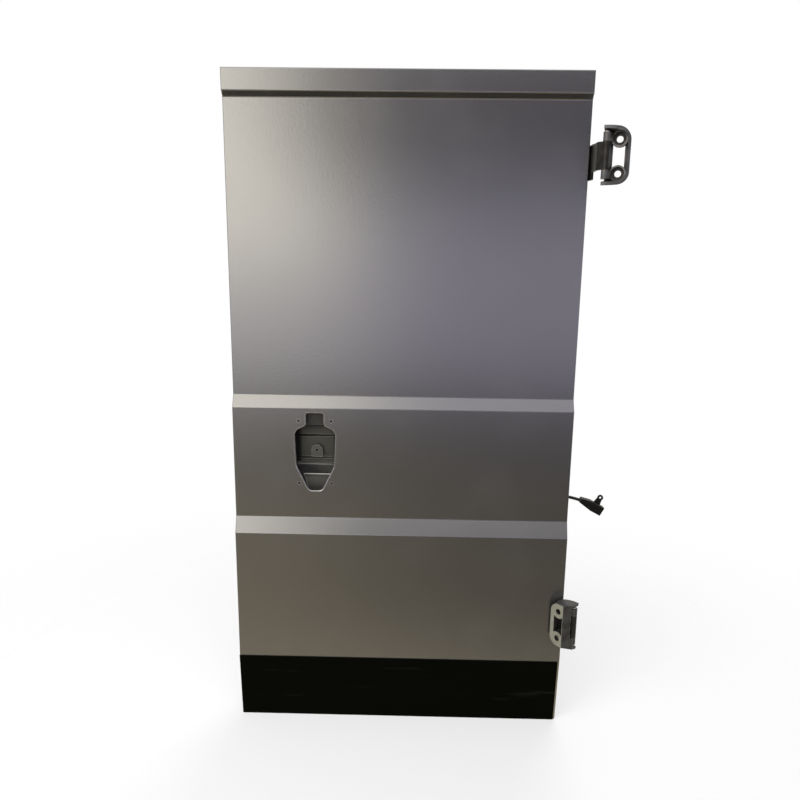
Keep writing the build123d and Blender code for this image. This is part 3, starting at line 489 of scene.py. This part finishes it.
grommet_rubber = dusty_plastic("grommet_rubber", RUBBER, BLOOM, 0.5, 0.62, 700.0)
conduit_black = dusty_plastic("conduit_black", CONDUIT, SHOP_DUST, 0.35, 0.36, 500.0)
connector_plastic = dusty_plastic("connector_plastic", CONNECTOR, SHOP_DUST, 0.30, 0.4, 420.0)
print("moulded", grommet_rubber.name, conduit_black.name, connector_plastic.name)

# %% [markdown]
# ## Dressing the solids
# The solids keep their shapes and only receive a finish. A table of piece and finish is easier to read
# than a line for each piece, and the check below shows at once if a piece was forgotten.

# %% Give every solid its finish
finishes = {
    "outer_skin": skin_paint,
    "handle_carrier": lock_paint,
    "lock_bracket": bracket_paint,
    "lock_tab": tab_paint,
    "lower_moulding": moulding_black,
    "harness_grommet": grommet_rubber,
    "connector_body": connector_plastic,
    "connector_lug": connector_plastic,
    "harness_lead": conduit_black,
    "upper_hinge_leaf": upper_leaf_paint,
    "lower_hinge_leaf": lower_leaf_paint,
    "upper_hinge_arm": arm_paint,
    "lower_hinge_arm": arm_paint,
    "upper_hinge_pin": pin_steel,
    "lower_hinge_pin": pin_steel,
    "upper_hinge_bushes": bush_bronze,
    "lower_hinge_bushes": bush_bronze,
}
for name, piece in nodes.items():
    piece.data.materials.clear()
    piece.data.materials.append(finishes.get(name, thin_paint))
print("dressed", len(nodes), "solids,", len(nodes) - len(finishes), "in thin paint")

# %% [markdown]
# ## Pieces that repeat
# Bolts, welds and the ribs of a conduit are one small shape many times over, so Geometry Nodes place
# them. A recipe is a node tree with named sizes. The helper below sets those sizes by their socket's
# identifier, evaluates the tree once and keeps only the finished mesh, with no modifier left on it.


# %% Write recipes for repeated pieces
def add(name, data):
    made = bpy.data.objects.new(name, data)
    bpy.context.scene.collection.objects.link(made)
    return made


class Recipe(NodeTree):
    """A Geometry Nodes tree with named sizes."""

    def __init__(self, name, sizes):
        super().__init__(bpy.data.node_groups.new(name, "GeometryNodeTree"))
        self.values = {}
        face = self.tree.interface
        face.new_socket("Geometry", in_out="INPUT", socket_type="NodeSocketGeometry")
        face.new_socket("Geometry", in_out="OUTPUT", socket_type="NodeSocketGeometry")
        for size, value in sizes.items():
            socket = face.new_socket(size, in_out="INPUT", socket_type="NodeSocketFloat")
            self.values[socket.identifier] = value
        self.start = self.tree.nodes.new("NodeGroupInput")
        self.end = self.tree.nodes.new("NodeGroupOutput")

    def given(self):
        return Wire(self, self.start.outputs["Geometry"])

    def size(self, name):
        return Wire(self, self.start.outputs[name])

    def join(self, first, second):
        both = self.node("GeometryNodeJoinGeometry", None, {0: first})
        self.tree.links.new(second.socket, both.socket.node.inputs[0])
        return both

    def solid(self, name):
        return self.node("GeometryNodeObjectInfo", None, {"Object": nodes[name]}, output="Geometry")

    def finish(self, geometry, material):
        real = self.node("GeometryNodeRealizeInstances", None, {0: geometry})
        coated = self.node("GeometryNodeSetMaterial", None, {"Geometry": real, "Material": material})
        self.plug(coated, self.end.inputs[0])

    def make(self, name, source, body, slot):
        holder = add(name + "_source", source)
        modifier = holder.modifiers.new("recipe", "NODES")
        modifier.node_group = self.tree
        for identifier, value in self.values.items():
            modifier[identifier] = value
        ready = holder.evaluated_get(bpy.context.evaluated_depsgraph_get())
        mesh = bpy.data.meshes.new_from_object(ready)
        bpy.data.objects.remove(holder)
        made = add(name, mesh)
        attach(made, body)
        print("made", name, "with", len(mesh.polygons), "faces")
        return made


def dots(name, places):
    mesh = bpy.data.meshes.new(name)
    mesh.from_pydata(places, [], [])
    return mesh


# %% [markdown]
# ## Arm bolts
# Each hinge arm is held to the door's edge by two flanged hexagon bolts. A hexagon prism on a shallow
# cone is enough at this size. The arm's box gives their places: they sit in the middle of its end plate.

# %% Place the arm bolts
ARM_THICKNESS = 0.005
ARM_PLATE_LENGTH = 0.026
ARM_BOLT_SPACING = 0.044
HEAD_CROWN = 0.94
bolt_sizes = {"Head Radius": 0.0085, "Head Height": 0.0062,
              "Flange Radius": 0.0105, "Flange Height": 0.0022}
bolt_recipe = Recipe("hex_bolts", bolt_sizes)
head_radius = bolt_recipe.size("Head Radius")
flange_height = bolt_recipe.size("Flange Height")
flange = bolt_recipe.node("GeometryNodeMeshCone", None, {
    "Vertices": 32, "Radius Top": head_radius, "Radius Bottom": bolt_recipe.size("Flange Radius"),
    "Depth": flange_height})
head = bolt_recipe.node("GeometryNodeMeshCone", None, {
    "Vertices": 6, "Radius Top": HEAD_CROWN * head_radius, "Radius Bottom": head_radius,
    "Depth": bolt_recipe.size("Head Height")})
lift = bolt_recipe.node("ShaderNodeCombineXYZ", None, {"Z": flange_height})
head = bolt_recipe.node("GeometryNodeTransform", None, {"Geometry": head, "Translation": lift})
bolt = bolt_recipe.join(flange, head)
bolts = bolt_recipe.node("GeometryNodeInstanceOnPoints", None, {
    "Points": bolt_recipe.given(), "Instance": bolt, "Rotation": (0, math.pi / 2, 0)})
bolt_recipe.finish(bolts, bolt_zinc)
bolt_places = []
for arm in ("upper_hinge_arm", "lower_hinge_arm"):
    arm_low, arm_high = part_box(arm)
    for side in (0.5, -0.5):
        bolt_z = (arm_low.z + arm_high.z) / 2 + side * ARM_BOLT_SPACING
        bolt_places.append((arm_low.x + ARM_THICKNESS, arm_high.y - ARM_PLATE_LENGTH / 2, bolt_z))
bolt_recipe.make("arm_bolts", dots("bolt_places", bolt_places), "door", "pin_steel")

# %% [markdown]
# ## Spot welds and sealer
# The inner panel's flange is spot-welded and then sealed with a brushed bead along its edge. Both follow
# the door's outline, which steps in and out with the bands. A ray cast from behind finds the flange at
# every place, so the same rectangle of points serves the welds and the bead.

# %% Follow the flange with welds and a bead
WELD_INSET = 0.0085
WELD_PITCH = 0.052
WELD_CROWN = 0.45
BEAD_INSET = 0.0035
BEAD_STEP = 0.006
RAY_START = 0.3


def flange_path(recipe, inset, pitch):
    quad = recipe.node("GeometryNodeCurvePrimitiveQuadrilateral", {"mode": "RECTANGLE"}, {
        "Width": door_width - 2 * inset, "Height": door_height - 2 * inset})
    middle = (door_middle_x, RAY_START, (skin_low.z + skin_high.z) / 2)
    placed = recipe.node("GeometryNodeTransform", None, {
        "Geometry": quad, "Translation": middle, "Rotation": (math.pi / 2, 0, 0)})
    stepped = recipe.node("GeometryNodeResampleCurve", {"mode": "LENGTH"}, {
        "Curve": placed, "Length": pitch})
    panel = recipe.join(recipe.solid("upper_inner_panel"), recipe.solid("lower_inner_panel"))
    ray = {"Target Geometry": panel, "Ray Direction": (0, -1, 0), "Ray Length": 2 * RAY_START}
    hit = recipe.node("GeometryNodeRaycast", {"data_type": "FLOAT_VECTOR"}, ray, output="Hit Position")
    return recipe.node("GeometryNodeSetPosition", None, {"Geometry": stepped, "Position": hit})


weld_recipe = Recipe("spot_welds", {"Weld Radius": 0.0030, "Weld Height": 0.0005})
weld_radius = weld_recipe.size("Weld Radius")
weld = weld_recipe.node("GeometryNodeMeshCone", None, {
    "Vertices": 16, "Radius Top": WELD_CROWN * weld_radius, "Radius Bottom": weld_radius,
    "Depth": weld_recipe.size("Weld Height")})
weld_path = flange_path(weld_recipe, WELD_INSET, WELD_PITCH)
welds = weld_recipe.node("GeometryNodeInstanceOnPoints", None, {
    "Points": weld_path, "Instance": weld, "Rotation": (-math.pi / 2, 0, 0)})
weld_recipe.finish(welds, thin_paint)
weld_recipe.make("spot_welds", dots("weld_start", []), "door", "inner_paint")

bead_recipe = Recipe("sealer_bead", {"Bead Radius": 0.0015})
bead_round = bead_recipe.node("GeometryNodeCurvePrimitiveCircle", None, {
    "Resolution": 10, "Radius": bead_recipe.size("Bead Radius")})
bead = bead_recipe.node("GeometryNodeCurveToMesh", None, {
    "Curve": flange_path(bead_recipe, BEAD_INSET, BEAD_STEP), "Profile Curve": bead_round})
bead_recipe.finish(bead, thin_paint)
bead_recipe.make("sealer_bead", dots("bead_start", []), "door", "inner_paint")

# %% [markdown]
# ## Welded seam
# The inner panel is pressed in two parts, which are butt-welded across the middle band. A weld is a row
# of overlapping scales, so a flat drop is repeated along the joint, each one a little larger or smaller
# than the last.

# %% Weld the two panels together
SEAM_MARGIN = 0.026
SEAM_SEED = 4
SEAM_SMALLEST = 0.85
SEAM_LARGEST = 1.15
seam_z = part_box("upper_inner_panel")[0].z
seam_sizes = {"Scale Length": 0.0026, "Scale Width": 0.0019, "Scale Height": 0.0007, "Scale Pitch": 0.0030}
seam_recipe = Recipe("seam_weld", seam_sizes)
seam_line = seam_recipe.node("GeometryNodeCurvePrimitiveLine", None, {
    "Start": (skin_low.x + SEAM_MARGIN, panel_back_y, seam_z),
    "End": (skin_high.x - SEAM_MARGIN, panel_back_y, seam_z)})
seam_steps = seam_recipe.node("GeometryNodeResampleCurve", {"mode": "LENGTH"}, {
    "Curve": seam_line, "Length": seam_recipe.size("Scale Pitch")})
drop = seam_recipe.node("GeometryNodeMeshUVSphere", None, {"Segments": 12, "Rings": 8, "Radius": 1.0})
drop_size = seam_recipe.node("ShaderNodeCombineXYZ", None, {
    "X": seam_recipe.size("Scale Length"), "Y": seam_recipe.size("Scale Height"),
    "Z": seam_recipe.size("Scale Width")})
drop = seam_recipe.node("GeometryNodeTransform", None, {"Geometry": drop, "Scale": drop_size})
vary = seam_recipe.node("FunctionNodeRandomValue", {"data_type": "FLOAT"}, {
    2: SEAM_SMALLEST, 3: SEAM_LARGEST, "Seed": SEAM_SEED}, output=1)
scales = seam_recipe.node("GeometryNodeInstanceOnPoints", None, {
    "Points": seam_steps, "Instance": drop, "Scale": vary})
seam_recipe.finish(scales, thin_paint)
seam_recipe.make("seam_weld", dots("seam_start", []), "door", "inner_paint")

# %% [markdown]
# ## Wiring lead
# The lead is a corrugated conduit that leaves the grommet and sags a little before the connector takes
# over. A curve is the right thing for a cable: its points are the route, and its bevel is the thickness.
# The ribs of the conduit are rings that a recipe threads on the same route.

# %% Lay the lead
LEAD_DIAMETER = 0.007
grommet_low, grommet_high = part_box("harness_grommet")
exit_x = grommet_high.x
exit_y = (grommet_low.y + grommet_high.y) / 2
exit_z = (grommet_low.z + grommet_high.z) / 2
route = [
    (exit_x, exit_y, exit_z),
    (exit_x + 0.015, exit_y - 0.003, exit_z + 0.0015),
    (exit_x + 0.033, exit_y - 0.009, exit_z - 0.0005),
    (exit_x + 0.051, exit_y - 0.013, exit_z - 0.005),
]


def lead_curve(name, bevel):
    curve = bpy.data.curves.new(name, "CURVE")
    curve.dimensions = "3D"
    curve.bevel_depth = bevel
    curve.bevel_resolution = 6
    curve.use_fill_caps = bevel > 0
    spline = curve.splines.new("NURBS")
    spline.points.add(len(route) - 1)
    for point, place in zip(spline.points, route):
        point.co = (*place, 1.0)
    spline.order_u = 3
    spline.use_endpoint_u = True
    spline.resolution_u = 24
    return curve


lead = add("wiring_lead", lead_curve("wiring_lead", LEAD_DIAMETER / 2))
lead.data.materials.append(conduit_black)
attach(lead, "door")
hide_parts("harness_lead")
print("lead laid from", [round(value, 4) for value in route[0]])

# %% [markdown]
# ## Ribs of the conduit
# Corrugated conduit is a thin tube with a ring every few millimetres. A ring is one small torus, set at
# even steps along the same route as the lead and turned to the route's direction.

# %% Thread the ribs on the lead
rib_recipe = Recipe("conduit_ribs", {"Rib Pitch": 0.0028, "Rib Radius": 0.00355, "Rib Thickness": 0.00062})
rib_line = rib_recipe.node("GeometryNodeResampleCurve", {"mode": "LENGTH"}, {
    "Curve": rib_recipe.given(), "Length": rib_recipe.size("Rib Pitch")})
rib_ring = rib_recipe.node("GeometryNodeCurvePrimitiveCircle", None, {
    "Resolution": 24, "Radius": rib_recipe.size("Rib Radius")})
rib_section = rib_recipe.node("GeometryNodeCurvePrimitiveCircle", None, {
    "Resolution": 8, "Radius": rib_recipe.size("Rib Thickness")})
rib = rib_recipe.node("GeometryNodeCurveToMesh", None, {"Curve": rib_ring, "Profile Curve": rib_section})
along = rib_recipe.node("GeometryNodeInputTangent")
turn = rib_recipe.node("FunctionNodeAlignRotationToVector", {"axis": "Z"}, {"Vector": along})
ribs = rib_recipe.node("GeometryNodeInstanceOnPoints", None, {
    "Points": rib_line, "Instance": rib, "Rotation": turn})
rib_recipe.finish(ribs, conduit_black)
conduit_ribs = rib_recipe.make("conduit_ribs", lead_curve("rib_route", 0.0), "door", "black_conduit")

# %% [markdown]
# ## Floor and background
# The door stands on a plain pale floor in front of a white background. A floor of even colour would meet
# that background in a hard line, so this one is a round sheet that turns clear towards its rim: near the
# door it keeps the soft shadow, and further out the white behind it shows through.

# %% Lay the floor
FLOOR_RADIUS = 6.0
FLOOR_CLEAR_FROM = 0.5
FLOOR_CLEAR_TO = 1.9
FLOOR_COVER = 0.5
floor_mesh = bpy.data.meshes.new("floor")
floor_form = bmesh.new()
bmesh.ops.create_circle(floor_form, cap_ends=True, segments=96, radius=FLOOR_RADIUS)
bmesh.ops.translate(floor_form, verts=floor_form.verts, vec=(door_middle_x, skin_low.y, skin_low.z))
floor_form.to_mesh(floor_mesh)
floor_form.free()
floor = add("floor", floor_mesh)

floor_finish = Finish("floor_finish", {"Roughness": 0.9, "Specular IOR Level": 0.0})
floor_finish.feed("Base Color", rgb(0.90, 0.90, 0.90))
door_foot = (door_middle_x, (skin_low.y + panel_back_y) / 2, skin_low.z)
cover = floor_finish.rise(floor_finish.distance_to(door_foot), FLOOR_CLEAR_TO, FLOOR_CLEAR_FROM)
floor_finish.feed("Alpha", FLOOR_COVER * cover)
floor.data.materials.append(floor_finish.material)
floor.visible_glossy = False
print("floor at", round(skin_low.z, 3))

# %% [markdown]
# ## What the paint mirrors
# Metallic paint looks like its surroundings, so a studio puts large cards where the paint will mirror
# them. The paint in the photograph mirrors a bright doorway to the left behind the camera, a dim far wall
# and a warm floor. One half-round card in front of the door carries these three. Only reflections see it:
# it neither lights the door nor shows in the picture.

# %% Hang the card that the paint mirrors
CARD_RADIUS = 12.0
card_mesh = bpy.data.meshes.new("card")
card_form = bmesh.new()
bmesh.ops.create_uvsphere(card_form, u_segments=64, v_segments=32, radius=CARD_RADIUS)
behind = [vertex for vertex in card_form.verts if vertex.co.y > 0.01]
bmesh.ops.delete(card_form, geom=behind, context="VERTS")
card_form.to_mesh(card_mesh)
card_form.free()
card = add("card", card_mesh)
card.location = (door_middle_x, skin_low.y, (skin_low.z + skin_high.z) / 2)
card.visible_camera = False
card.visible_diffuse = False
card.visible_transmission = False
card.visible_shadow = False
print("card hung at", CARD_RADIUS, "m")

# %% [markdown]
# ## The room on the card
# The card is a picture of the room, drawn by direction: side runs from the left wall to the right one,
# and up from the floor to the ceiling. Each border is a pair, the place where a part begins and the place
# where it is full, so every edge is soft. The doorway's post leans a little, which slants the bright
# patch on the upper panel, and daylight also lies on the floor in front of the threshold, so the doorway
# fades out in two steps. The floor is palest close to the door and dark right under it.

# %% Draw the room on the card
DOORWAY = rgb(2.64, 2.56, 2.34)
DARK_WALL = rgb(0.035, 0.035, 0.042)
PALE_WALL = rgb(0.63, 0.605, 0.80)
CEILING = rgb(0.84, 0.82, 0.94)
FLOOR_LEFT = rgb(0.40, 0.35, 0.25)
FLOOR_RIGHT = rgb(0.16, 0.142, 0.105)
FLOOR_NEAR = rgb(0.86, 0.75, 0.53)
DOOR_SHADOW = rgb(0.030, 0.027, 0.018)
PALE_WALL_TOP = (0.22, 0.04)
PALE_WALL_FOOT = (-0.24, -0.12)
CEILING_BORDER = (0.31, 0.36)
FLOOR_BORDER = (-0.18, -0.42)
FLOOR_SIDES = (0.15, -0.30)
FLOOR_NEAR_BORDER = (-0.52, -0.72)
DOOR_SHADOW_BORDER = (-0.74, -0.82)
POST_LEAN = 0.11
LEAN_FOOT = (0.0, 0.26)
LEAN_TOP = (0.60, 0.40)
NEAR_POST = (0.03, -0.20)
FAR_POST = (-0.85, -0.45)
THRESHOLD = (-0.06, 0.10)
DAYLIGHT_ON_FLOOR = (-0.30, -0.04)
DAYLIGHT_SHARE = 0.36
DOORWAY_HEAD = (0.95, 0.55)
room = Finish("room_finish")
toward = room.node("ShaderNodeVectorMath", {"operation": "NORMALIZE"}, {0: room.place}, output="Vector")
side = room.axis(toward, "X")
up = room.axis(toward, "Z")
wall = room.blend(room.rise(up, *PALE_WALL_TOP) * room.rise(up, *PALE_WALL_FOOT), DARK_WALL, PALE_WALL)
above = room.blend(room.rise(up, *CEILING_BORDER), wall, CEILING)
floor_tone = room.blend(room.rise(side, *FLOOR_SIDES), FLOOR_RIGHT, FLOOR_LEFT)
ground = room.blend(room.rise(up, *FLOOR_NEAR_BORDER), floor_tone, FLOOR_NEAR)
ground = room.blend(room.rise(up, *DOOR_SHADOW_BORDER), ground, DOOR_SHADOW)
surround = room.blend(room.rise(up, *FLOOR_BORDER), above, ground)
post = side + POST_LEAN * room.rise(up, *LEAN_FOOT) * room.rise(up, *LEAN_TOP)
across = room.rise(post, *NEAR_POST) * room.rise(post, *FAR_POST)
daylight = DAYLIGHT_SHARE * room.rise(up, *DAYLIGHT_ON_FLOOR)
daylight = daylight + (1 - DAYLIGHT_SHARE) * room.rise(up, *THRESHOLD)
opening = across * daylight * room.rise(up, *DOORWAY_HEAD)
picture = room.blend(opening, surround, DOORWAY)
light = room.node("ShaderNodeEmission", None, {"Color": picture, "Strength": 1.0})
room.plug(light, room.tree.nodes["Material Output"].inputs["Surface"])
card.data.materials.append(room.material)
print("drawn on the card", room.material.name)

# %% [markdown]
# ## Lamps and background
# Three soft lamps light the door at a plain level: a large one overhead in front, one at the left for the
# bright side, and a weak one behind, for the views of the inner panel. The world is white to the eye and
# a mild grey as light.

# %% Light the scene
WORLD_LIGHT = 0.45
DOOR_HEART = Vector((-0.45, 0.0, -0.5))
LAMPS = {
    "overhead": {"place": (-0.5, -1.8, 2.2), "size": 2.4, "power": 50.0},
    "left_window": {"place": (-2.8, -2.0, 0.4), "size": 1.8, "power": 60.0},
    "rear_fill": {"place": (0.6, 2.8, 1.2), "size": 2.4, "power": 60.0},
}
for name, lamp in LAMPS.items():
    light = bpy.data.lights.new(name, "AREA")
    light.shape = "SQUARE"
    light.size = lamp["size"]
    light.energy = lamp["power"]
    holder = add(name, light)
    holder.location = lamp["place"]
    beam = DOOR_HEART - Vector(lamp["place"])
    holder.rotation_euler = beam.to_track_quat("-Z", "Y").to_euler()
    holder.visible_camera = False
    holder.visible_glossy = False


def seen_directly(tree):
    seen = tree.node("ShaderNodeLightPath", output="Is Camera Ray")
    for kind in ("Is Glossy Ray", "Is Transmission Ray"):
        other = tree.node("ShaderNodeLightPath", output=kind)
        seen = tree.node("ShaderNodeMath", {"operation": "MAXIMUM"}, {0: seen, 1: other})
    return seen


world = bpy.data.worlds.new("studio")
world.use_nodes = True
bpy.context.scene.world = world
sky = NodeTree(world.node_tree)
backdrop = world.node_tree.nodes["Background"]
backdrop.inputs["Color"].default_value = rgb(1, 1, 1)
sky.plug(WORLD_LIGHT + (1 - WORLD_LIGHT) * seen_directly(sky), backdrop.inputs["Strength"])
print("lamps", list(LAMPS))

# %% [markdown]
# ## Camera
# The camera stands a little above the door's middle, close in front of it, and looks slightly down, which
# makes the door narrow towards its foot. Its place was found by matching the door's corners in the
# photograph.

# %% Set up the camera
CAMERA_ASIDE = 0.0200
CAMERA_BACK = 1.5805
CAMERA_RISE = 1.1629
PITCH_DOWN = math.radians(11.83)
YAW = math.radians(0.94)
ROLL = math.radians(0.73)
SENSOR = 36.0
LENS = 31.5
STRIP_LIP = 0.0026
camera_data = bpy.data.cameras.new("camera")
camera_data.sensor_width = SENSOR
camera_data.lens = LENS
camera = add("camera", camera_data)
lower_face_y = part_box("lower_moulding")[0].y + STRIP_LIP
tilt = Matrix.Rotation(math.pi / 2 - PITCH_DOWN, 4, "X")
turned = Matrix.Rotation(YAW, 4, "Z") @ tilt @ Matrix.Rotation(ROLL, 4, "Z")
stand = (door_middle_x + CAMERA_ASIDE, lower_face_y - CAMERA_BACK, skin_low.z + CAMERA_RISE)
camera.matrix_world = Matrix.Translation(stand) @ turned
bpy.context.scene.camera = camera
bpy.context.scene.view_settings.view_transform = "Standard"
print("camera at", [round(value, 3) for value in camera.matrix_world.translation])
